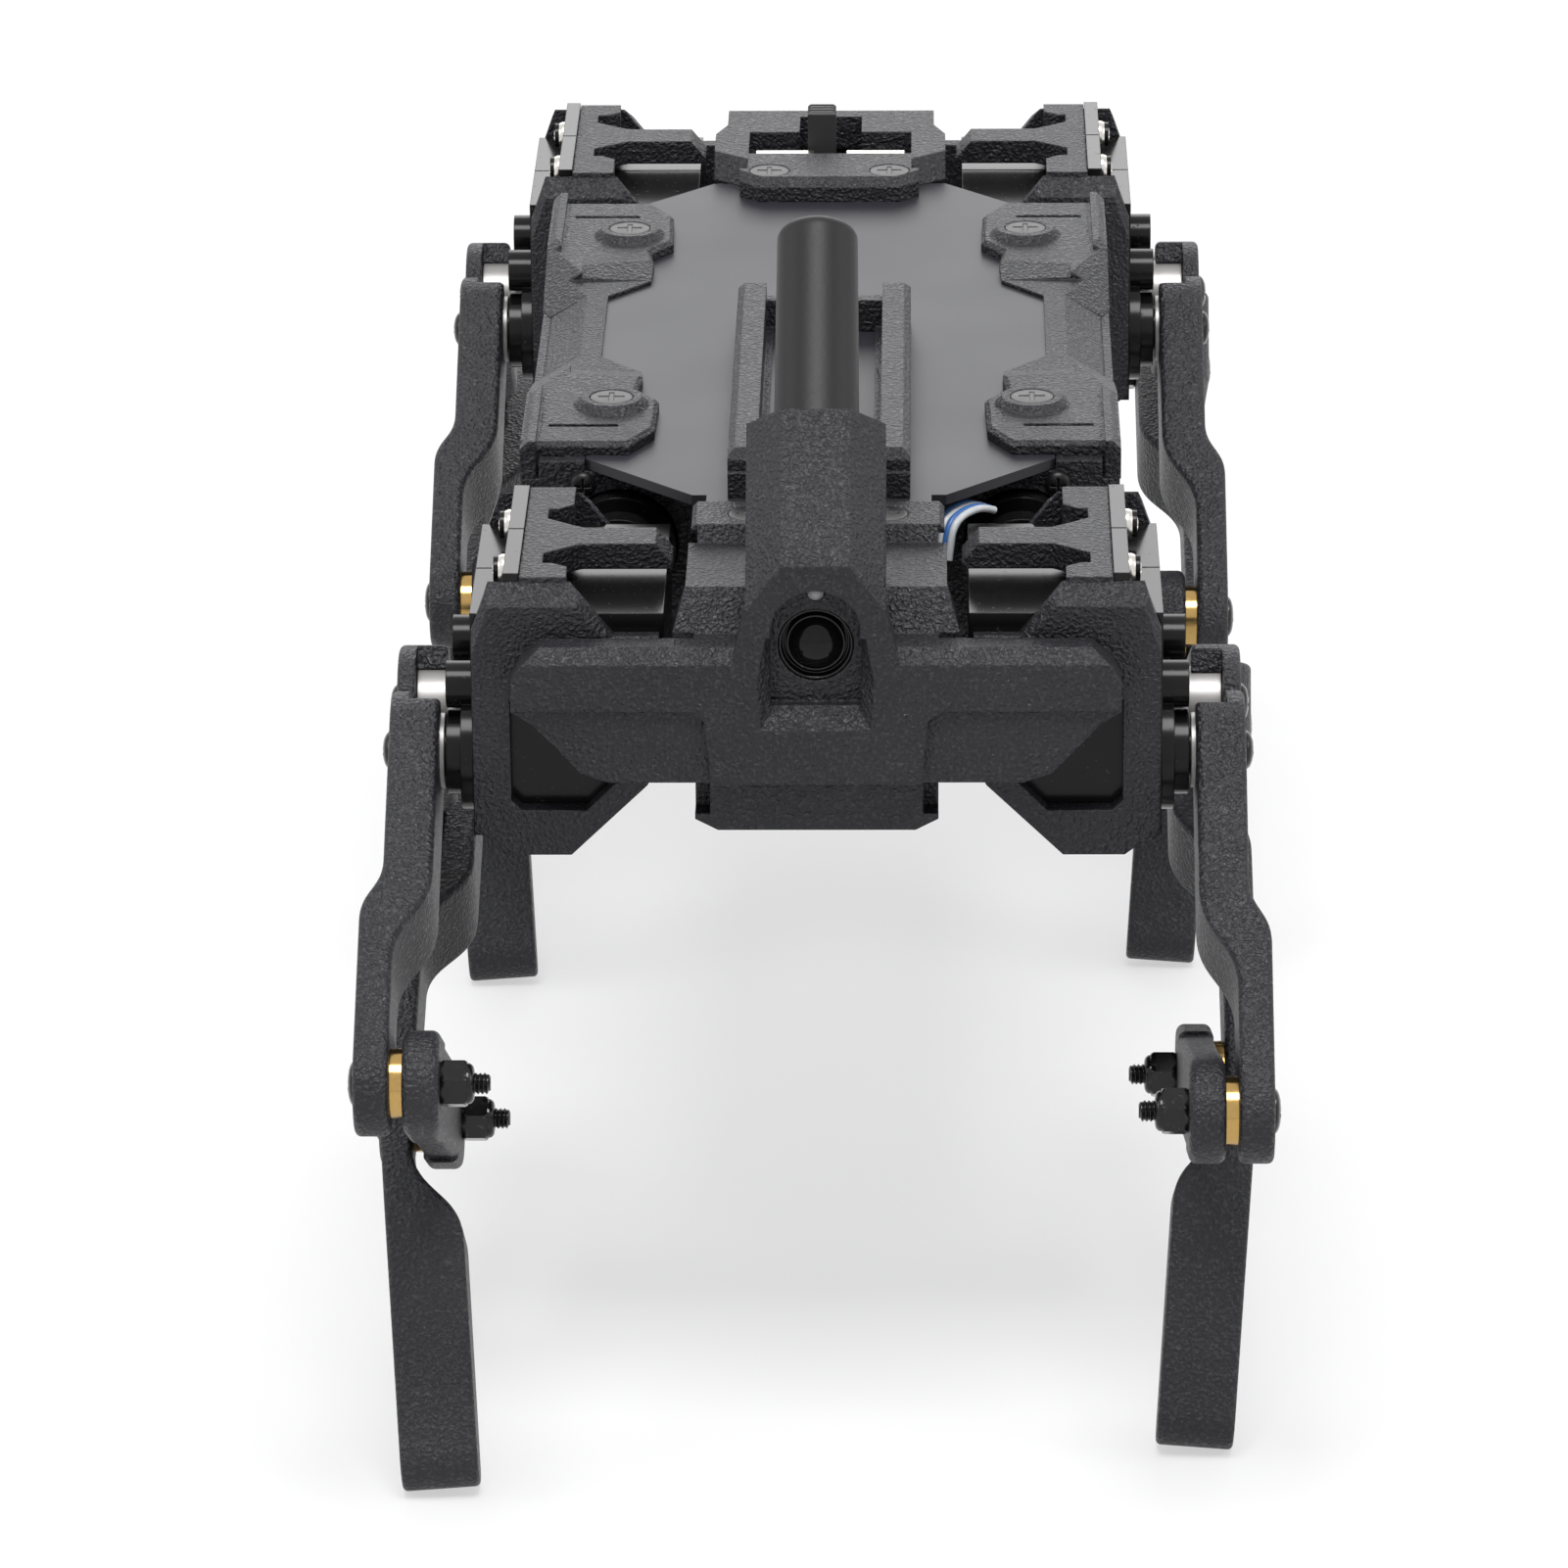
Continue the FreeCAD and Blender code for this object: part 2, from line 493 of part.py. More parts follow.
def on_mast(shape):
    """Shape drawn along +Z from the origin, leaned back onto the mast's axis."""
    s = shape.copy()
    s.rotate(V(0, 0, 0), V(1, 0, 0), -(90.0 - MAST_TILT))
    s.translate(V(0, MAST_FOOT[0], z_(MAST_FOOT[1])))
    return s


def end_plate(y0, y1):
    """Wide plate across the machine's end that carries the roll pivots, with a shallow step
    in its lower outer corners; y0 is the outer face."""
    face = [(0, 12.2), (25.2, 12.2), (27.0, 10.7), (27.9, 9.0), (27.9, 6.1), (26.0, 4.9), (21.6, 0.1),
            (19.0, -0.8), (0, -0.8)]
    lo, hi = sorted((y0, y1))
    plate = prism([(x, z_(h)) for x, h in both(face)], "y", lo, hi)
    return bevel(plate, 1.3, lambda c: abs(c.y - y0) < 0.1 and c.z > z_(12))


def roll_pins(sign):
    """Boss and pivot behind the end plate, one for each hip."""
    pins = []
    for s in (-1, 1):
        for r, a, b in ((ROLL_R - RUN, 74.35, 77.4), (4.0, 76.3, 77.4)):
            y0, y1 = sorted((sign * a, sign * b))
            pins.append(rod(s * ROLL_X, y0, z_(ROLL_H), r, y1 - y0, "y"))
    return pins


def wire_xz(points, y):
    return loop([V(x, y, z_(h)) for x, h in points])


def front_cover():
    """Nose of the robot: deck tab, sloping hood, wide face plate with the roll pivots behind
    and the leaning mast with its keyhole."""
    tab = prism(both([(0, z_(16.5)), (11.8, z_(16.5)), (11.8, z_(16.9)), (11.3, z_(17.4)),
                      (0, z_(17.4))]), "y", -60.0, -53.7)
    hood = [(-60.05, 16.5), (-60.0, 17.4), (-61.0, 15.9), (-72.8, 15.9), (-75.2, 12.2), (-78.0, 12.2),
            (-78.0, -0.8), (-71.65, -0.8), (-71.65, 15.45), (-60.05, 15.45)]
    hood = prism([(y, z_(h)) for y, h in hood], "x", -11.2, 11.2)
    shoulder = prism(both([(0, z_(13.4)), (12.0, z_(13.4)), (12.0, z_(15.9)), (0, z_(15.9))]), "y",
                     -72.8, -61.0)
    # the hood's foot flares towards the plate
    upper = loop([V(-12.0, -71.8, z_(15.9)), V(12.0, -71.8, z_(15.9)), V(12.0, -72.8, z_(15.9)),
                  V(-12.0, -72.8, z_(15.9))])
    lower = loop([V(-13.2, -71.8, z_(12.2)), V(13.2, -71.8, z_(12.2)), V(13.2, -75.2, z_(12.2)),
                  V(-13.2, -75.2, z_(12.2))])
    flare = Part.makeLoft([upper, lower], True, True)
    face = end_plate(NOSE_Y, -76.35)
    # the lower outer part of the plate is stepped back
    step = [(40, 6.4), (11.6, 6.4), (10.2, 5.4), (9.7, 0.2), (9.4, -5), (40, -5)]
    steps = [prism([(s * x, z_(h)) for x, h in step], "y", NOSE_Y - 1, NOSE_Y + 0.6)
             for s in (-1, 1)]
    face = cut(face, steps)
    nose = prism(both([(0, z_(20.4)), (3.1, z_(20.4)), (6.3, z_(16.1)), (7.6, z_(11.5)),
                       (7.6, z_(9.5)), (0, z_(9.5))]), "y", NOSE_Y, -76.6)
    # leaning mast: eight-sided prism cut off by the face
    w, c = 6.4, 3.15
    section = [(c, -6.15), (w, -3.0), (w, 3.0), (c, 6.3), (-c, 6.3), (-w, 3.0), (-w, -3.0), (-c, -6.15)]
    mast = on_mast(prism(section, "z", -14.0, MAST_L))
    mast = mast.common(box(-9, 9, NOSE_Y, -55, z_(5.0), z_(40)))
    mast = mast.cut(box(-9, 9, -71.65, -40, z_(-10), z_(15.95)))
    body = fuse([tab, hood, shoulder, flare, face, nose, mast] + roll_pins(-1))
    # keyhole: funnel-edged arch, round hole behind it, small lamp hole above
    arch_w, arch_z, back = 4.15, 13.95, -77.6
    arch = fuse([box(-arch_w, arch_w, -83, back, z_(6.5), z_(arch_z)),
                 rod(0, -83, z_(arch_z), arch_w, back + 83, "y")])
    funnel = Part.makeLoft([
        wire_xz([(-5.05, 4.5), (5.05, 4.5), (5.4, 9.3), (4.6, 13.5), (-4.6, 13.5), (-5.4, 9.3)],
                NOSE_Y - 0.01),
        wire_xz([(-3.75, 6.5), (3.75, 6.5), (4.1, 8.6), (4.1, 13.0), (-4.1, 13.0), (-4.1, 8.6)],
                NOSE_Y + 1.3)], True, True)
    keel_way = box(-KEEL_X - 0.05, KEEL_X + 0.05, -71.65, -50, z_(-6), z_(15.45))
    tools = [keel_way, arch, funnel, rod(0, -81, z_(12.0), 3.5, 8, "y"),
             rod(0, -81, z_(17.1), 0.8, 5.0, "y"),
             on_mast(Part.makeCylinder(MAST_BORE, 9.0, V(0, 0, MAST_L - MAST_SINK), V(0, 0, 1)))]
    for s in (-1, 1):
        x = s * COVER_SCREW_X
        tools.append(rod(x, -57.0, PLATE_Z - 2, 1.05, 8, "z"))
        tools.append(Part.makeCone(1.1, 2.2, 0.9, V(x, -57.0, z_(17.4) - 0.9), V(0, 0, 1)))
    return cut(body, tools)


def antenna():
    """Slightly tapered stub antenna with a flat, round-edged end, standing in the mast."""
    length, top_r, edge = 21.6, 3.75, 1.3
    foot_r = MAST_BORE - 0.02
    foot = Part.makeCylinder(foot_r, MAST_SINK, V(0, 0, MAST_L - MAST_SINK), V(0, 0, 1))
    cone = Part.makeCone(foot_r, top_r, length, V(0, 0, MAST_L), V(0, 0, 1))
    cone = cone.makeFillet(edge, [e for e in cone.Edges if e.CenterOfMass.z > MAST_L + length - 0.1
                                  and e.Curve.TypeId == "Part::GeomCircle"])
    return on_mast(fuse([foot, cone]))


def headlamp():
    """Lens barrel deep in the round hole and the small indicator dome above it."""
    lens_h, dome_h, dome_r = 12.0, 17.1, 0.8
    barrel = rod(0, -76.4, z_(lens_h), 3.4, 3.0, "y")
    lens = Part.makeSphere(3.0, V(0, -75.2, z_(lens_h))).common(
        box(-4, 4, -80, -76.3, z_(8), z_(16)))
    dome = fuse([rod(0, -77.2, z_(dome_h), dome_r, 1.1, "y"),
                 Part.makeSphere(dome_r, V(0, -77.2, z_(dome_h)))])
    return Part.makeCompound([fuse([barrel, lens]), dome])


def rear_cover():
    """Rear deck block with the slide switch's window, and the plate behind it that carries the
    rear hips' roll pivots."""
    top_h = 19.0
    half = [(0, 42.2), (7.4, 42.2), (9.4, 44.2), (9.4, 47.8), (12.2, 50.0), (12.2, 58.3), (11.0, 61.6),
            (11.0, 66.9), (10.2, 67.7), (0, 67.7)]
    slab = prism(both(half), "z", PLATE_Z, z_(top_h))
    slab = bevel(slab, 0.9, lambda c: c.z > z_(top_h) - 0.1 and (c.y < 44.1 or c.y > 67.0))
    # triangular facets beside the shoulders
    facet = above((10.4, 50.8, z_(top_h)), (12.3, 50.0, z_(16.5)), (9.4, 47.7, z_(16.5)))
    facet = facet.common(box(8.6, 14.0, 46.0, 54.0, z_(16.4), z_(20)))
    slab = cut(slab, [facet, mirror_x(facet)])
    hood = [(60.1, 15.45), (60.1, 16.5), (69.9, 16.5), (72.8, 15.4), (75.2, 12.2), (77.4, 12.2),
            (77.4, -0.8), (70.05, -0.8), (70.05, 15.45)]
    hood = prism([(y, z_(h)) for y, h in hood], "x", -10.8, 10.8)
    skirt = box(-10.6, 10.6, 53.1, 60.2, z_(15.45), PLATE_Z)
    body = fuse([slab, hood, skirt, end_plate(79.4, 76.35)] + roll_pins(1))
    window = fuse([box(-8.6, 8.6, 51.3, 59.0, z_(10), z_(22)),
                   box(-3.3, 3.3, 58.0, 64.6, z_(10), z_(22))])
    tools = [window]
    for s in (-1, 1):
        x = s * COVER_SCREW_X
        tools.append(rod(x, 45.3, PLATE_Z - 2, 1.05, 8, "z"))
        tools.append(Part.makeCone(1.1, 2.2, 1.2, V(x, 45.3, z_(top_h) - 1.2), V(0, 0, 1)))
    return cut(body, tools)


KNOB_TRAVEL = 2.4
KNOB_X = -0.9              # middle of the knob at its left-hand stop
KNOB_Y = 58.0


def switch_body():
    """Slide switch under the rear cover, with two bright contact bars in the window."""
    case = box(-8.3, 8.3, 54.2, 62.4, z_(6.5), z_(13.8))
    slot = box(KNOB_X - 1.6, KNOB_X + 1.6 + KNOB_TRAVEL, KNOB_Y - 1.5, KNOB_Y + 1.5, z_(11.5), z_(14))
    bars = [box(s * 4.8 - 3.0, s * 4.8 + 3.0, 54.0, 55.4, z_(13.8), z_(18.0)) for s in (-1, 1)]
    return cut(fuse([case] + bars), [slot])


def switch_knob():
    stem = box(KNOB_X - 1.25, KNOB_X + 1.25, KNOB_Y - 1.2, KNOB_Y + 1.2, z_(12.0), z_(19.0))
    top = box(KNOB_X - 1.5, KNOB_X + 1.5, KNOB_Y - 1.6, KNOB_Y + 1.6, z_(16.4), z_(22.0))
    top = bevel(top, 0.3, lambda c: c.z > z_(21.9))
    grooves = [box(KNOB_X - 2, KNOB_X + 2, KNOB_Y + y - 0.2, KNOB_Y + y + 0.2, z_(21.5), z_(23))
               for y in (-0.9, 0.0, 0.9)]
    return cut(fuse([stem, top]), grooves)


def belly_cover():
    """Shallow bevelled box under the keel; its front end shows below the face plate."""
    half, front = 11.2, -77.6
    block = prism(both([(half, z_(-4.65)), (half, z_(-5.1)), (9.1, z_(-6.2)), (0, z_(-6.2))]), "y",
                  front, 60.0)
    chin = box(-half, half, front, -71.65, z_(-4.7), z_(-0.85))
    notch = [box(s * half - 1.4, s * half + 1.4, y, y + 14, z_(-5.6), z_(-4.0))
             for s in (-1, 1) for y in (-71.0, -44.0, -8.0, 20.0)]
    notch += [box(s * half - 1.4, s * half + 1.4, front - 1, front + 2.4, z_(-4.6), z_(-1.2))
              for s in (-1, 1)]
    groove = box(-7.85, 7.85, front - 1, front + 0.4, z_(-1.7), z_(-1.4))
    return cut(fuse([block, chin]), notch + [groove])


def deck_screws():
    """Countersunk black screws of the covers and the pan-head screws of the rails' blocks."""
    out = []
    x_rail, y_rail = RAIL_SCREW
    half, deep = 0.25, 0.6       # the cross in each head
    spots = ((COVER_SCREW_X, -57.0, z_(17.4), 0.9), (COVER_SCREW_X, 45.3, z_(19.0), 1.2),
             (x_rail, -y_rail, z_(18.6), 1.2), (x_rail, y_rail, z_(18.6), 1.2))
    for s in (-1, 1):
        for x, y, top, depth in spots:
            head = Part.makeCone(1.1, 2.1, depth, V(s * x, y, top - depth), V(0, 0, 1))
            shaft = rod(s * x, y, PLATE_Z - 1.0, 1.0, top - depth - PLATE_Z + 1.0, "z")
            cross = [box(s * x - 1.3, s * x + 1.3, y - half, y + half, top - deep, top + 1),
                     box(s * x - half, s * x + half, y - 1.3, y + 1.3, top - deep, top + 1)]
            out.append(cut(fuse([shaft, head]), cross))
        for e in (-1, 1):
            y0 = BODY_Y if e > 0 else -BODY_Y - 0.8
            out.append(rod(s * 22.7, y0, z_(14.1), 1.2, 0.8, "y"))
    return Part.makeCompound(out)


# ---- build and write -----------------------------------------------------------------------
def put(name, shape):
    shape = shape.copy()
    shape.translate(V(0, Y_SHIFT, 0))
    solids = shape.Solids
    shape = solids[0] if len(solids) == 1 else Part.makeCompound(solids)
    if not shape.isValid() or not solids:
        raise RuntimeError(name + " is not a valid solid")
    shape.exportStep("parts/" + name + ".step")


def put_leg(leg, p, made):
    """Place one set of the leg's pieces; the cage's comb lies towards the body's nearer end."""
    front, right = leg.startswith("front"), leg.endswith("right")

    def side(shape):
        return shape if right else mirror_x(shape)

    def hip(shape):
        s = shape.copy() if front else mirror_y(shape)
        s.translate(V(0, -LEG_Y if front else LEG_Y, DATUM))
        return side(s)
    put(leg + "_hip_bracket", hip(made["hip_bracket"]))
    put(leg + "_leg_servos", hip(made["leg_servos"]))
    for name, shape, a, b in (("front_crank", "crank", "front", "knee1"),
                              ("front_horn", "horn", "front", "knee1"),
                              ("rear_crank", "crank", "rear", "knee2"),
                              ("rear_horn", "horn", "rear", "knee2"),
                              ("short_link", "short_link", "knee1", "ankle"),
                              ("link_rings", "link_rings", "knee1", "ankle"),
                              ("knee_bolt", "pivot_bolt", "knee1", "ankle"),
                              ("shank", "shank", "knee2", "ankle"),
                              ("shank_bolts", "shank_bolts", "knee2", "ankle")):
        put(leg + "_" + name, side(lay(made[shape], p[a], p[b])))


def main():
    made = {f.__name__: f() for f in (hip_bracket, leg_servos, crank, horn, short_link, link_rings,
                                      pivot_bolt, shank, shank_bolts)}
    for leg, p in LEGS.items():
        put_leg(leg, p, made)
    mast_parts = {"antenna": antenna(), "headlamp": headlamp()}
    servos = hip_servos()
    rail = side_rail()
    body = {"body_frame": cut(body_frame(), [servos]), "hip_servos": servos, "battery": battery(),
            "control_board": control_board(), "top_plate": top_plate(), "deck_frame": deck_frame(),
            "side_rail_right": rail, "side_rail_left": mirror_x(rail),
            "front_cover": cut(front_cover(), list(mast_parts.values())), "rear_cover": rear_cover(),
            "switch_body": switch_body(), "switch_knob": switch_knob(), "belly_cover": belly_cover(),
            "deck_screws": deck_screws()}
    body.update(mast_parts)
    for name, shape in body.items():
        put(name, shape)


if __name__ == "__main__":
    main()
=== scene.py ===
import json
import math

import bmesh
import bpy
import numpy as np
from mathutils import Matrix, Vector


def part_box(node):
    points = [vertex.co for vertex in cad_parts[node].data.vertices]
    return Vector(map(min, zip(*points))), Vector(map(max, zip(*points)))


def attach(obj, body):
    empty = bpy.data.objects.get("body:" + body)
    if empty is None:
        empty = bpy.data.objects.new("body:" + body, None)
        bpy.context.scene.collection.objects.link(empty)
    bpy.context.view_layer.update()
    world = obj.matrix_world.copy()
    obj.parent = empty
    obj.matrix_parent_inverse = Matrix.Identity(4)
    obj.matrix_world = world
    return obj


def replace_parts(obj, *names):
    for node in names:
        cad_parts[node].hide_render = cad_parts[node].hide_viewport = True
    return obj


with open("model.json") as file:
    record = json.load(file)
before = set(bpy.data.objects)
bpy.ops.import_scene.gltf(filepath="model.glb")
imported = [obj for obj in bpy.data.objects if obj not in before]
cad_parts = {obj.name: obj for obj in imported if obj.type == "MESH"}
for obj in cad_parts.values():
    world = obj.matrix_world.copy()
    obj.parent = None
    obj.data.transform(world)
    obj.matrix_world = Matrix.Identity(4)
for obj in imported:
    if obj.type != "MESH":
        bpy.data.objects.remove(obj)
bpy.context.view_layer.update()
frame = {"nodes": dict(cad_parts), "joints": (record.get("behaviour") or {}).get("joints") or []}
MM = 0.001
LEG_NAMES = ("front_left", "front_right", "rear_left", "rear_right")


# ---- camera ------------------------------------------------------------------------------
# A long lens stands in front of the robot, a little above it, and looks down along its back.
CAMERA_SPOT = Vector((9.73, -772.2, 342.3)) * MM
CAMERA_YAW, CAMERA_PITCH, CAMERA_ROLL = math.radians(-1.05), math.radians(21.6), math.radians(-0.434)
LENS_MM = 186.6

ahead = Vector((math.sin(CAMERA_YAW) * math.cos(CAMERA_PITCH),
                math.cos(CAMERA_YAW) * math.cos(CAMERA_PITCH), -math.sin(CAMERA_PITCH)))
level = Vector((math.cos(CAMERA_YAW), -math.sin(CAMERA_YAW), 0.0))
upright = level.cross(ahead)
right = level * math.cos(CAMERA_ROLL) + upright * math.sin(CAMERA_ROLL)
up = upright * math.cos(CAMERA_ROLL) - level * math.sin(CAMERA_ROLL)
camera = bpy.data.objects.new("camera", bpy.data.cameras.new("camera"))
camera.data.lens = LENS_MM
camera.data.sensor_width = 36.0
camera.data.clip_start = 0.01
camera.matrix_world = Matrix.Translation(CAMERA_SPOT) @ Matrix((
    (right.x, up.x, -ahead.x), (right.y, up.y, -ahead.y), (right.z, up.z, -ahead.z))).to_4x4()
bpy.context.scene.collection.objects.link(camera)
bpy.context.scene.camera = camera


# ---- sintered nylon ----------------------------------------------------------------------
# Covers, brackets, cranks, links and shanks are laser-sintered black nylon: a dull charcoal
# with a sandy grain that glitters where a slope faces the light, and a painted highlight on the edges.
class Wire:
    """One output socket.  Arithmetic on it adds Math nodes to the same material."""

    def __init__(self, maker, socket):
        self.maker, self.socket = maker, socket

    def __add__(self, other):
        return self.maker.node("Math", {"operation": "ADD"}, self, other)

    def __mul__(self, other):
        return self.maker.node("Math", {"operation": "MULTIPLY"}, self, other)

    def __sub__(self, other):
        return self.maker.node("Math", {"operation": "SUBTRACT"}, self, other)

    def __rsub__(self, other):
        return self.maker.node("Math", {"operation": "SUBTRACT"}, other, self)

    def __pow__(self, other):
        return self.maker.node("Math", {"operation": "POWER"}, self, other)

    __radd__, __rmul__ = __add__, __mul__


class Maker:
    def __init__(self, name):
        self.material = bpy.data.materials.new(name)
        self.material.use_nodes = True
        self.tree = self.material.node_tree
        self.shader = self.tree.nodes["Principled BSDF"]

    def feed(self, socket, value):
        if isinstance(value, Wire):
            self.tree.links.new(value.socket, socket)
        else:
            socket.default_value = value

    def node(self, kind, settings, *values, out=0, **named):
        made = self.tree.nodes.new("ShaderNode" + kind)
        for key, value in settings.items():
            setattr(made, key, value)
        for socket, value in zip(made.inputs, values):
            if value is not None:
                self.feed(socket, value)
        for key, value in named.items():
            self.feed(made.inputs[key.replace("_", " ")], value)
        return Wire(self, made.outputs[out])

    def place(self):
        """The point's own place on the piece, in metres."""
        return self.node("TexCoord", {}, out="Object")

    def noise(self, scale, detail=2.0, rough=0.5):
        return self.node("TexNoise", {}, Vector=self.place(), Scale=scale, Detail=detail,
                         Roughness=rough)

    def blend(self, factor, first, second):
        mixed = self.tree.nodes.new("ShaderNodeMix")
        mixed.data_type = "RGBA"
        self.feed(mixed.inputs[0], factor)
        self.feed(mixed.inputs[6], first)
        self.feed(mixed.inputs[7], second)
        return Wire(self, mixed.outputs[2])

    def ramp(self, value, low, high):
        """0 below low, 1 above high, straight between."""
        return self.node("MapRange", {}, value, low, high, 0.0, 1.0)

    def ridge(self, value, middle):
        """Bright along the line where the value crosses the middle, falling off both sides."""
        away = self.node("Math", {"operation": "ABSOLUTE"}, value - middle)
        return 1.0 - self.node("Math", {"operation": "MINIMUM"}, away * 8.0, 1.0)

    def rounding(self, radius):
        """The normal as if every edge were rounded to the radius."""
        return self.node("Bevel", {"samples": 6}, Radius=radius)

    def edge(self, radius):
        """The rounded normal, and how far it leans from the flat one: more than 0 on edges."""
        rounded = self.rounding(radius)
        flat = self.node("NewGeometry", {}, out="Normal")
        dot = self.node("VectorMath", {"operation": "DOT_PRODUCT"}, rounded, flat, out="Value")
        return rounded, 1.0 - dot

    def finish(self, **sockets):
        for key, value in sockets.items():
            self.feed(self.shader.inputs[key.replace("_", " ")], value)
        return self.material


def grey(level, tint=0.0):
    return (level, level, level * (1.0 + tint), 1.0)


def sintered_nylon():
    """Charcoal base with cloudy mottling; sand grain over a faint maze and a finer tooth as bump;
    grain tops paler and shinier than the pits; a painted highlight makes the edges pale."""
    make = Maker("sintered_nylon")
    grain = make.noise(2700.0, 1.2, 0.4)
    worm = make.ridge(make.noise(1700.0, 0.6, 0.3), 0.5)
    fine = make.noise(7500.0, 1.0)
    cloud = make.noise(90.0, 3.0)
    rounded, painted_edge_highlight = make.edge(0.0003)
    top = make.ramp(grain, 0.54, 0.7)
    tone = make.blend(make.ramp(cloud, 0.35, 0.65), grey(0.011, 0.26), grey(0.016, 0.26))
    tone = make.blend(top * 0.45, tone, grey(0.05, 0.16))
    # painted highlight: edges made paler where the rounded normal leans away from the flat one
    tone = make.blend(make.ramp(painted_edge_highlight, 0.02, 0.3) * 0.5, tone, grey(0.055, 0.12))
    height = grain * 0.72 + worm * 0.14 + fine * 0.14
    bumped = make.node("Bump", {}, Strength=1.0, Distance=0.00036, Height=height, Normal=rounded)
    return make.finish(Base_Color=tone, Roughness=0.44 - top * 0.14, Specular_IOR_Level=0.33,
                       Normal=bumped)


NYLON = sintered_nylon()
NYLON_NODES = ["body_frame", "deck_frame", "side_rail_left", "side_rail_right", "front_cover",
               "rear_cover", "belly_cover"]
NYLON_NODES += [leg + part for leg in LEG_NAMES for part in
                ("_hip_bracket", "_front_crank", "_rear_crank", "_short_link", "_shank")]


def dress(node, material):
    """Give a carried-over CAD node one material."""
    mesh = frame["nodes"][node].data
    mesh.materials.clear()
    mesh.materials.append(material)


for node in NYLON_NODES:
    dress(node, NYLON)


# ---- deck plate ---------------------------------------------------------------------------
# A 1 mm aluminium sheet, blasted and anodised dark grey: satin and a little cloudy.
def anodised_sheet():
    make = Maker("anodised_sheet")
    cloud = make.noise(60.0, 3.0)
    tooth = make.noise(9000.0, 2.0)
    tone = make.blend(cloud, grey(0.018, 0.3), grey(0.024, 0.3))
    bumped = make.node("Bump", {}, Strength=0.12, Distance=0.00003, Height=tooth)
    return make.finish(Base_Color=tone, Roughness=0.4 + cloud * 0.08, Metallic=0.1,
                       Specular_IOR_Level=0.34, Normal=bumped)


dress("top_plate", anodised_sheet())


# ---- servos -------------------------------------------------------------------------------
# Micro servo cases are injection-moulded and polished: near-black, glossy, with faint dust.
def servo_gloss():
    make = Maker("servo_gloss")
    rounded = make.rounding(0.00018)
    dust = make.ramp(make.noise(1700.0, 2.0), 0.7, 0.76)
    tone = make.blend(dust * 0.25, grey(0.006), grey(0.12))
    return make.finish(Base_Color=tone, Roughness=0.19 + dust * 0.3, Specular_IOR_Level=0.2,
                       Normal=rounded)


SERVO_GLOSS = servo_gloss()
for node in ["hip_servos"] + [leg + "_leg_servos" for leg in LEG_NAMES]:
    dress(node, SERVO_GLOSS)


# ---- horns --------------------------------------------------------------------------------
# Turned aluminium servo horns, bead-blasted to a warm matt silver.
def horn_silver():
    make = Maker("horn_silver")
    rounded = make.rounding(0.0002)
    tooth = make.noise(5000.0, 2.0)
    bumped = make.node("Bump", {}, Strength=0.15, Distance=0.00003, Height=tooth, Normal=rounded)
    return make.finish(Base_Color=(0.34, 0.33, 0.325, 1.0), Roughness=0.36 + tooth * 0.1,
                       Metallic=0.75, Normal=bumped)


HORN_SILVER = horn_silver()
for leg in LEG_NAMES:
    dress(leg + "_front_horn", HORN_SILVER)
    dress(leg + "_rear_horn", HORN_SILVER)


# ---- spacer rings -------------------------------------------------------------------------
# Brass bushing collars between the arms of each knee.
def ring_brass():
    make = Maker("ring_brass")
    turn = make.noise(3000.0, 1.0)
    tone = make.blend(turn, (0.42, 0.27, 0.09, 1.0), (0.5, 0.33, 0.12, 1.0))
    return make.finish(Base_Color=tone, Roughness=0.12 + turn * 0.06, Metallic=1.0)


RING_BRASS = ring_brass()
for leg in LEG_NAMES:
    dress(leg + "_link_rings", RING_BRASS)


# ---- antenna ------------------------------------------------------------------------------
# Stub antenna: moulded black, semi-gloss skin.
def antenna_skin():
    make = Maker("antenna_skin")
    tooth = make.noise(2500.0, 2.0)
    bumped = make.node("Bump", {}, Strength=0.3, Distance=0.00005, Height=tooth)
    return make.finish(Base_Color=grey(0.008, 0.14), Roughness=0.44 + tooth * 0.08,
                       Specular_IOR_Level=0.3, Normal=bumped)


dress("antenna", antenna_skin())


# ---- bolts --------------------------------------------------------------------------------
# Black M2 pan-head bolts with nyloc nuts hold the knees and ankles: the heads are outside, the
# threads stand out of the nuts towards the body.  Sizes are the real M2 ones.
THREAD_R, THREAD_PITCH, THREAD_DEPTH = 1.0, 0.4, 0.2
THREAD_TIP, NUT_IN, NUT_HEX, NUT_BASE = 29.35, 30.8, 31.45, 33.83
NUT_FLAT, COLLAR_R = 2.0, 1.85
HEAD_SEAT, HEAD_R, HEAD_H = 41.6, 2.05, 0.7
LINK_LENGTH, SHANK_LENGTH = 35.4, 44.6


def turned(stations, radius, steps=48):
    """Surface of revolution: at station t and angle a the point is (t, r cos a, r sin a), with
    r = radius(t, a); both are worked out as whole arrays."""
    t = np.asarray(stations, float)[:, None]
    a = np.linspace(0.0, 2.0 * math.pi, steps, endpoint=False)[None, :]
    r = radius(t, a) * np.ones((t.shape[0], steps))
    return np.stack([t * np.ones_like(r), r * np.cos(a), r * np.sin(a)], axis=2)


def capped(grid):
    """Close both ends of a tube of points by shrinking the end rows to their centres."""
    first = np.repeat(grid[:1].mean(axis=1, keepdims=True), grid.shape[1], axis=1)
    last = np.repeat(grid[-1:].mean(axis=1, keepdims=True), grid.shape[1], axis=1)
    return np.concatenate([first, grid, last])


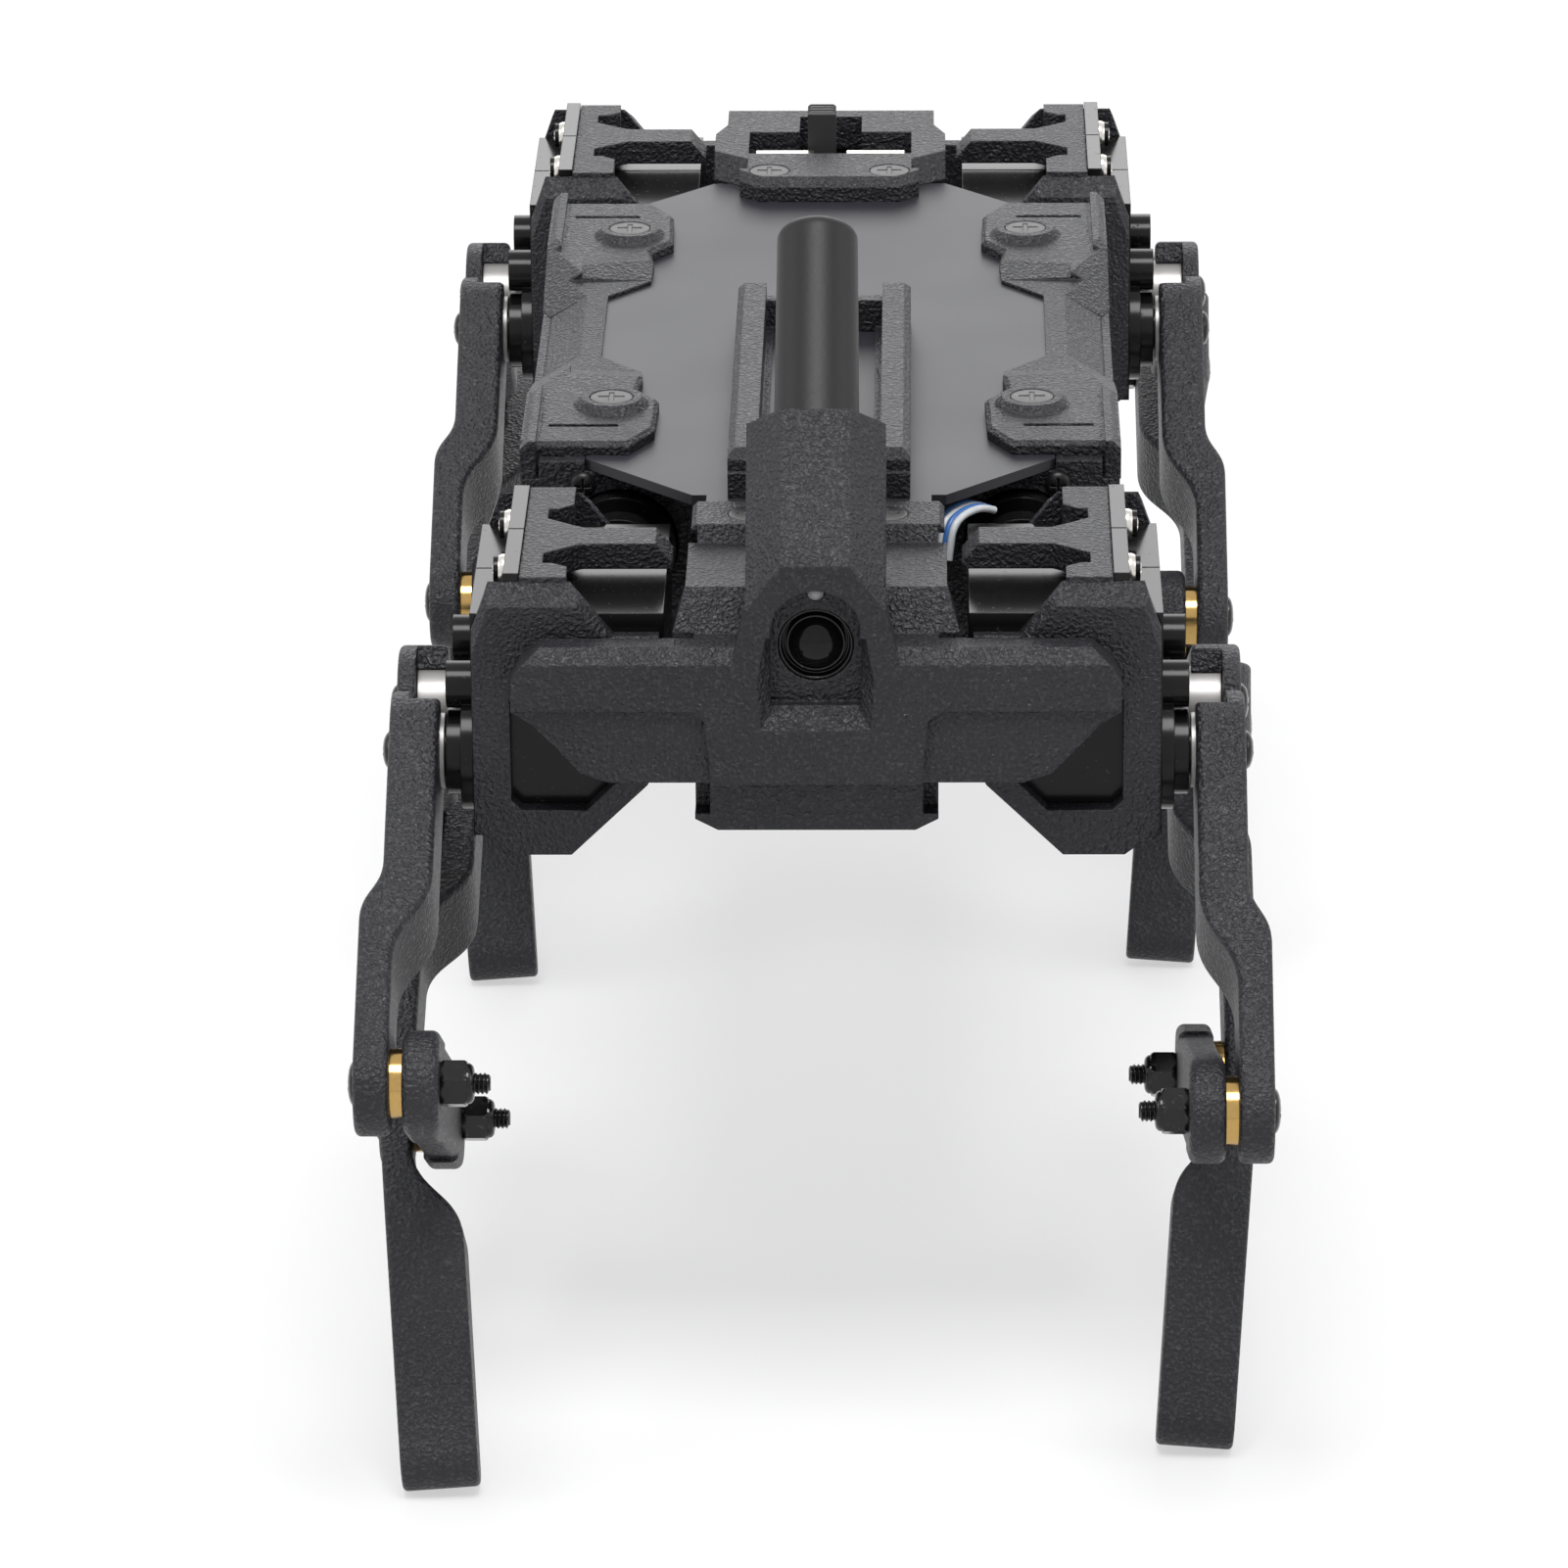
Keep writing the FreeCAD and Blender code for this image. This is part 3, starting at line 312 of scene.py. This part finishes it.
def thread():
    """Helical V thread: the radius falls by the thread's depth as a triangle wave of
    t / pitch - a / 2 pi, and the first pitch tapers to a point."""
    def radius(t, a):
        wave = np.abs(((t / THREAD_PITCH - a / (2.0 * math.pi)) % 1.0) * 2.0 - 1.0)
        return THREAD_R - THREAD_DEPTH * wave - np.clip(THREAD_TIP + 0.3 - t, 0.0, 0.3) * 0.9
    return capped(turned(np.arange(THREAD_TIP, NUT_IN + 0.35, 0.05), radius, 36))


def nut():
    """Hexagon whose corners are cut back by a cone at both ends."""
    def radius(t, a):
        hexagon = NUT_FLAT / np.cos((a + math.pi / 6) % (math.pi / 3) - math.pi / 6)
        room = np.minimum(t - NUT_HEX, NUT_BASE - t)
        return np.minimum(hexagon, NUT_FLAT * 1.02 + 1.5 * room)
    return capped(turned(np.linspace(NUT_HEX, NUT_BASE, 12), radius, 72))


def collar():
    """Round crimped collar that holds the nylon insert: a quarter-round towards the tip."""
    def radius(t, a):
        x = np.clip((NUT_IN + 0.55 - t) / 0.55, 0.0, 1.0)
        return COLLAR_R * (0.62 + 0.38 * np.sqrt(1.0 - x * x)) + 0 * a
    return capped(turned(np.linspace(NUT_IN, NUT_HEX + 0.05, 12), radius))


def pan_head(seat, size, height, depth=0.45):
    """Domed head with a Phillips cross: over the disc of radii q and angles a, the height is
    a flat dome less the depth of a cross of two tapering slots."""
    q = np.concatenate([np.linspace(0.0, size * 0.98, 26), [size]])[:, None]
    a = np.linspace(0.0, 2.0 * math.pi, 96, endpoint=False)[None, :]
    y, z = q * np.cos(a), q * np.sin(a)
    slot = np.minimum(np.abs(y), np.abs(z))
    arm = np.maximum(np.abs(y), np.abs(z))
    cross = np.clip((size * 0.11 - slot) / (size * 0.03), 0, 1)
    cross = cross * np.clip((size * 0.6 - arm) / (size * 0.08), 0, 1)
    dome = height * (1.0 - 0.45 * (q / size) ** 2 - 0.3 * (q / size) ** 8)
    t = seat + dome - depth * cross
    face = np.stack([t, y, z], axis=2)
    skirt = np.stack([np.full_like(y[-1:], seat), y[-1:], z[-1:]], axis=2)
    centre = np.zeros_like(skirt) + np.array([seat, 0.0, 0.0])
    return np.concatenate([face, skirt, centre])


def shaft():
    return capped(turned([NUT_IN, HEAD_SEAT + 0.1], lambda t, a: THREAD_R * 0.98 + 0 * t))


def skin(name, grids):
    """One mesh from several closed grids of points in millimetres (rows open, columns closed)."""
    points, faces, base = [], [], 0
    for grid in grids:
        rows, columns = grid.shape[:2]
        r, c = np.meshgrid(np.arange(rows - 1), np.arange(columns), indexing="ij")
        n = (c + 1) % columns
        quads = np.stack([r * columns + c, r * columns + n, (r + 1) * columns + n,
                          (r + 1) * columns + c], axis=2)
        faces.append(quads.reshape(-1, 4) + base)
        points.append(grid.reshape(-1, 3) * MM)
        base += rows * columns
    mesh = bpy.data.meshes.new(name)
    mesh.from_pydata(np.concatenate(points).tolist(), [], np.concatenate(faces).tolist())
    work = bmesh.new()
    work.from_mesh(mesh)
    bmesh.ops.remove_doubles(work, verts=work.verts, dist=1e-6)
    bmesh.ops.recalc_face_normals(work, faces=work.faces)
    work.to_mesh(mesh)
    work.free()
    piece = bpy.data.objects.new(name, mesh)
    bpy.context.scene.collection.objects.link(piece)
    return piece


def set_at(grid, side, y, z):
    """Stand a grid drawn along +t on the given side of the robot, on the axis through y, z."""
    return np.stack([side * grid[..., 0], grid[..., 1] + y, grid[..., 2] + z], axis=2)


def fit(piece, material, body="chassis", smooth=35.0):
    """Finish a made piece: its material, smooth shading up to an angle, and the body it moves
    with."""
    piece.data.materials.append(material)
    piece.data.shade_smooth()
    piece.data.set_sharp_from_angle(angle=math.radians(smooth))
    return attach(piece, body)


def black_steel():
    make = Maker("black_steel")
    stain = make.noise(1200.0, 2.0)
    worn = make.ramp(make.noise(2600.0, 2.0), 0.62, 0.75)
    tone = make.blend(worn * 0.4, grey(0.018), grey(0.14))
    return make.finish(Base_Color=tone, Roughness=0.09 + stain * 0.1, Metallic=0.65)


BLACK_STEEL = black_steel()
JOINTS = {joint["name"]: joint for joint in frame["joints"]}


def whole_bolt():
    return [thread(), nut(), collar(), shaft(), pan_head(HEAD_SEAT, HEAD_R, HEAD_H)]


def pivot(joint):
    """The (y, z) of a joint across the robot, in millimetres."""
    return np.array(JOINTS[joint]["pos_m"][1:]) / MM


def ankle_spot(leg):
    """The ankle lies where a circle of the link's length about the front knee meets one of the
    shank's length about the rear knee, on the lower side."""
    front, rear = pivot(leg + "_front_knee"), pivot(leg + "_rear_knee")
    span = rear - front
    d = np.hypot(*span)
    t = (LINK_LENGTH ** 2 - SHANK_LENGTH ** 2 + d ** 2) / (2.0 * d)
    h = math.sqrt(LINK_LENGTH ** 2 - t ** 2)
    return front + (t * span + h * np.array([span[1], -span[0]])) / d


for leg in LEG_NAMES:
    side = 1 if leg.endswith("right") else -1
    ankle = ankle_spot(leg)
    knee = skin(leg + "_knee_m2", [set_at(g, side, *pivot(leg + "_front_knee")) for g in whole_bolt()])
    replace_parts(fit(knee, BLACK_STEEL, leg + "_link_arm"), leg + "_knee_bolt")
    lower = [set_at(g, side, *spot) for spot in (pivot(leg + "_rear_knee"), ankle) for g in whole_bolt()]
    lower = skin(leg + "_shank_m2", lower)
    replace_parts(fit(lower, BLACK_STEEL, leg + "_shank_arm"), leg + "_shank_bolts")


# ---- flange screws ------------------------------------------------------------------------
# Nickel-plated pan-head screws hold the servo flanges to the hip brackets.
SCREW_SEAT, SCREW_R, SCREW_H = 28.7, 1.45, 1.25
SCREW_RISE = 17.9     # above the crank axes


def bright_nickel():
    make = Maker("bright_nickel")
    mark = make.noise(2500.0, 2.0)
    return make.finish(Base_Color=(0.66, 0.64, 0.6, 1.0), Roughness=0.18 + mark * 0.15, Metallic=1.0)


NICKEL = bright_nickel()
for leg in LEG_NAMES:
    side = 1 if leg.endswith("right") else -1
    spots = [pivot(leg + joint) + np.array([0.0, SCREW_RISE])
             for joint in ("_front_crank_turn", "_rear_crank_turn")]
    screws = skin(leg + "_flange_screws",
                  [set_at(pan_head(SCREW_SEAT, SCREW_R, SCREW_H), side, *spot) for spot in spots])
    fit(screws, NICKEL, leg + "_hip")


# ---- cover screws -------------------------------------------------------------------------
# Black countersunk Phillips screws hold the two covers and the side rails to the deck; four
# small pan heads hold the rails' blocks at the ends of the tub.
DATUM = 69.0                                    # the body's reference plane above the floor
PLATE_FRONT = 60.0                              # the deck plate's front edge, from the middle
BODY_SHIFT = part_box("top_plate")[0][1] / MM + PLATE_FRONT   # middle of the body along the robot
COVER_SPOTS = [(6.3, -57.0, 17.4), (6.3, 45.3, 19.0), (20.35, -26.8, 18.6), (20.35, 26.8, 18.6)]


def stood(grid, spot, facing):
    """Turn a grid drawn along +t towards +Z, +Y or -Y and stand it at a place on the body."""
    t, y, z = grid[..., 0], grid[..., 1], grid[..., 2]
    turned_to = {"+z": (y, z, t), "+y": (-y, t, z), "-y": (y, -t, z)}[facing]
    x0, y0, h0 = spot
    return np.stack([turned_to[0] + x0, turned_to[1] + y0 + BODY_SHIFT, turned_to[2] + h0 + DATUM],
                    axis=2)


def countersunk():
    """A shallow dome with its Phillips cross over a cone of 45 degrees."""
    head = pan_head(-0.08, 2.05, 0.1, 0.5)
    cone = capped(turned([-1.05, -0.06], lambda t, a: 1.05 - (-1.05 - t) * 0.98 + 0 * a))
    return [head, cone]


grids = [stood(g, (s * x, y, h), "+z") for s in (-1, 1) for x, y, h in COVER_SPOTS
         for g in countersunk()]
grids += [stood(pan_head(0.0, 1.25, 0.75), (s * 22.7, e * 39.5, 14.1), facing)
          for s in (-1, 1) for e, facing in ((-1, "-y"), (1, "+y"))]


def dull_black():
    """Black oxide, with a painted highlight that makes the rim and the edges of the cross bright."""
    make = Maker("dull_black")
    rounded, painted_edge_highlight = make.edge(0.0001)
    stain = make.noise(1400.0, 2.0)
    # painted highlight: rim and cross edges made bright where the rounded normal leans away from the flat
    # one
    tone = make.blend(make.ramp(painted_edge_highlight, 0.04, 0.35) * 0.6, grey(0.007), grey(0.22))
    return make.finish(Base_Color=tone, Roughness=0.28 + stain * 0.1, Specular_IOR_Level=0.25,
                       Normal=rounded)


DULL_BLACK = dull_black()
cover_screws = skin("cover_screws", grids)
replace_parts(fit(cover_screws, DULL_BLACK), "deck_screws")


# ---- horn screws --------------------------------------------------------------------------
# A small black screw in each crank's hub pulls the crank and its horn onto the servo's spline.
for leg in LEG_NAMES:
    side = 1 if leg.endswith("right") else -1
    for end in ("front", "rear"):
        spot = pivot(leg + "_" + end + "_crank_turn")
        screw = skin(leg + "_" + end + "_horn_screw", [set_at(pan_head(39.6, 1.8, 0.9), side, *spot)])
        fit(screw, BLACK_STEEL, leg + "_" + end + "_crank_arm")


# ---- headlamp -----------------------------------------------------------------------------
# A dark glass dome deep in the keyhole with a machined ring round it, and a milky indicator
# above it.
def hoop(radius, width):
    """Ring of round wire: at angle a round the axis and b round the wire the point is
    (w cos b, (r + w sin b) cos a, (r + w sin b) sin a), with w the width and r the radius."""
    b = np.linspace(0.0, 2.0 * math.pi, 17)[:, None]
    a = np.linspace(0.0, 2.0 * math.pi, 64, endpoint=False)[None, :]
    r = radius + width * np.sin(b)
    return np.stack([width * np.cos(b) + 0 * a, r * np.cos(a), r * np.sin(a)], axis=2)


lamp_rings = skin("lamp_rings", [stood(hoop(r, 0.14), (0.0, y, 12.0), "-y")
                                 for r, y in ((3.3, -77.3), (3.05, -76.6), (2.6, -76.95))])
fit(lamp_rings, BLACK_STEEL)


def milky():
    make = Maker("milky_dome")
    cloud = make.noise(900.0, 2.0)
    tone = make.blend(cloud, (0.2, 0.2, 0.21, 1.0), (0.3, 0.3, 0.31, 1.0))
    return make.finish(Base_Color=tone, Roughness=0.22 + cloud * 0.1)


dome = turned(np.linspace(0.0, 0.84, 12), lambda t, a: np.sqrt(np.maximum(0.84 ** 2 - t ** 2, 0.0)) + 0 * a)
indicator = skin("indicator_dome", [stood(capped(dome), (0.0, -77.2, 17.1), "-y")])
fit(indicator, milky())


def lamp_glass():
    make = Maker("lamp_glass")
    haze = make.noise(1500.0, 2.0)
    return make.finish(Base_Color=make.blend(haze, grey(0.003), grey(0.006)),
                       Roughness=0.04 + haze * 0.06, Specular_IOR_Level=0.2)


dress("headlamp", lamp_glass())


# ---- ribbon -------------------------------------------------------------------------------
# A short ribbon of four thin insulated wires, blue and white in turn, runs from the board under
# the deck down to the leg servos, in the gap between the cover and the right front hip.
def tube(points, radius, steps=14):
    """Round wire along a smooth curve: rings of the radius, square to the curve, at stations
    of a Catmull-Rom spline through the points."""
    p = np.array([points[0]] + list(points) + [points[-1]], float)
    rows = []
    for i in range(1, len(p) - 2):
        for u in np.linspace(0.0, 1.0, 9, endpoint=False):
            rows.append(0.5 * (2 * p[i] + (p[i + 1] - p[i - 1]) * u
                               + (2 * p[i - 1] - 5 * p[i] + 4 * p[i + 1] - p[i + 2]) * u * u
                               + (3 * p[i] - p[i - 1] - 3 * p[i + 1] + p[i + 2]) * u ** 3))
    path = np.array(rows + [p[-2]])
    along = np.gradient(path, axis=0)
    along /= np.linalg.norm(along, axis=1, keepdims=True)
    side = np.cross(along, [0.3, 0.2, 1.0])
    side /= np.linalg.norm(side, axis=1, keepdims=True)
    lift = np.cross(side, along)
    a = np.linspace(0.0, 2.0 * math.pi, steps, endpoint=False)[None, :, None]
    ring = np.cos(a) * side[:, None, :] + np.sin(a) * lift[:, None, :]
    return capped(path[:, None, :] + radius * ring)


def insulation(name, colour, pale):
    make = Maker(name)
    scuff = make.noise(1800.0, 2.0)
    return make.finish(Base_Color=make.blend(scuff, colour, pale), Roughness=0.34 + scuff * 0.14)


WIRES = {"blue": insulation("blue_insulation", (0.03, 0.11, 0.34, 1.0), (0.05, 0.16, 0.42, 1.0)),
         "white": insulation("white_insulation", (0.5, 0.52, 0.54, 1.0), (0.62, 0.64, 0.66, 1.0))}
ROUTE = ((10.9, -49.6, 10.5), (11.3, -48.9, 13.2), (12.2, -47.7, 14.2), (13.8, -45.8, 14.3),
         (15.2, -44.2, 13.6))
for colour, lanes in (("blue", (0, 2)), ("white", (1, 3))):
    offsets = [np.array((0.45 * lane, -0.45 * lane, 0.0)) for lane in lanes]
    strands = [tube([np.array(spot) + off for spot in ROUTE], 0.36) for off in offsets]
    wire = skin("ribbon_" + colour, [g + np.array([0.0, BODY_SHIFT, DATUM]) for g in strands])
    fit(wire, WIRES[colour])


# ---- switch contacts ----------------------------------------------------------------------
# Two tinned contact bars lie in the rear cover's window in front of the slide switch's lever.
def bar_block(x0, x1, y0, y1, h0, h1):
    """Box as four rings of a rectangle: bottom, top, and both closed by capped()."""
    rect = np.array([(x0, y0), (x1, y0), (x1, y1), (x0, y1)])
    rows = [np.concatenate([rect, np.full((4, 1), h)], axis=1) for h in (h0, h1)]
    return capped(np.array(rows)) + np.array([0.0, BODY_SHIFT, DATUM])


contacts = skin("switch_contacts", [bar_block(x0, x1, 53.95, 55.45, 13.7, 18.05)
                                    for x0, x1 in ((-7.85, -1.75), (1.75, 7.85))])
fit(contacts, NICKEL)


# ---- insides ------------------------------------------------------------------------------
# The battery, the circuit board and the slide switch sit inside the tub and show through its
# vents and the rear cover's window: shrink film, solder mask and moulded black plastic.
def plain(name, colour, rough):
    make = Maker(name)
    cloud = make.noise(900.0, 2.0)
    darker = tuple(c * 0.8 for c in colour[:3]) + (1.0,)
    return make.finish(Base_Color=make.blend(cloud, colour, darker), Roughness=rough + cloud * 0.1)


dress("battery", plain("battery_film", (0.03, 0.05, 0.14, 1.0), 0.3))
dress("control_board", plain("solder_mask", (0.01, 0.06, 0.03, 1.0), 0.35))
dress("switch_body", plain("switch_case", grey(0.015), 0.4))
dress("switch_knob", plain("switch_lever", grey(0.02), 0.5))


# ---- studio -------------------------------------------------------------------------------
# White table and backdrop with soft boxes above, behind and at both sides.
def studio_floor():
    span = 3.0
    mesh = bpy.data.meshes.new("floor")
    mesh.from_pydata([(-span, -span, 0), (span, -span, 0), (span, span, 0), (-span, span, 0)], [],
                     [(0, 1, 2, 3)])
    floor = bpy.data.objects.new("floor", mesh)
    bpy.context.scene.collection.objects.link(floor)
    make = Maker("floor_white")
    material = make.finish(Base_Color=grey(0.9), Roughness=0.9)
    # seen directly or in a reflection the floor is half white light, so its shadow stays pale
    seen = (make.node("LightPath", {}, out="Is Camera Ray")
            + make.node("LightPath", {}, out="Is Glossy Ray")
            + make.node("LightPath", {}, out="Is Transmission Ray"))
    seen = make.node("Math", {"operation": "MINIMUM"}, seen, 1.0)
    glow = make.node("Emission", {}, grey(1.0), 1.0)
    mixed = make.node("MixShader", {}, seen * 0.55, Wire(make, make.shader.outputs[0]), glow)
    make.tree.links.new(mixed.socket, make.tree.nodes["Material Output"].inputs["Surface"])
    mesh.materials.append(material)


studio_floor()


def soft_box(name, spot, target, width, height, power):
    lamp = bpy.data.lights.new(name, "AREA")
    lamp.shape = "RECTANGLE"
    lamp.size, lamp.size_y = width, height
    lamp.energy = power
    holder = bpy.data.objects.new(name, lamp)
    spot, target = Vector(spot), Vector(target)
    turn = (target - spot).to_track_quat("-Z", "Y").to_matrix().to_4x4()
    holder.matrix_world = Matrix.Translation(spot) @ turn
    bpy.context.scene.collection.objects.link(holder)


MIDDLE = (0.0, 0.0, 0.07)
soft_box("key_box", (0.0, -0.37, 1.0), MIDDLE, 0.55, 0.4, 9.0)
soft_box("back_box", (0.0, 1.0, 0.55), MIDDLE, 1.0, 0.5, 3.5)
soft_box("left_box", (-0.9, -0.1, 0.5), MIDDLE, 0.5, 0.5, 1.8)
soft_box("right_box", (0.9, -0.1, 0.5), MIDDLE, 0.5, 0.5, 1.8)

# the surroundings are white to the camera and in reflections, and give only a little fill light
FILL = 0.38
world = bpy.data.worlds.new("studio")
world.use_nodes = True
bpy.context.scene.world = world
sky = world.node_tree.nodes["Background"]
sky.inputs["Color"].default_value = grey(1.0)
path = world.node_tree.nodes.new("ShaderNodeLightPath")


def world_math(operation, first, second):
    made = world.node_tree.nodes.new("ShaderNodeMath")
    made.operation = operation
    for socket, value in zip(made.inputs, (first, second)):
        if isinstance(value, float):
            socket.default_value = value
        else:
            world.node_tree.links.new(value, socket)
    return made.outputs[0]


seen = world_math("MAXIMUM", path.outputs["Is Camera Ray"], path.outputs["Is Glossy Ray"])
seen = world_math("MAXIMUM", seen, path.outputs["Is Transmission Ray"])
seen = world_math("ADD", world_math("MULTIPLY", seen, 1.0 - FILL), FILL)
world.node_tree.links.new(seen, sky.inputs["Strength"])
bpy.context.scene.view_settings.view_transform = "Standard"
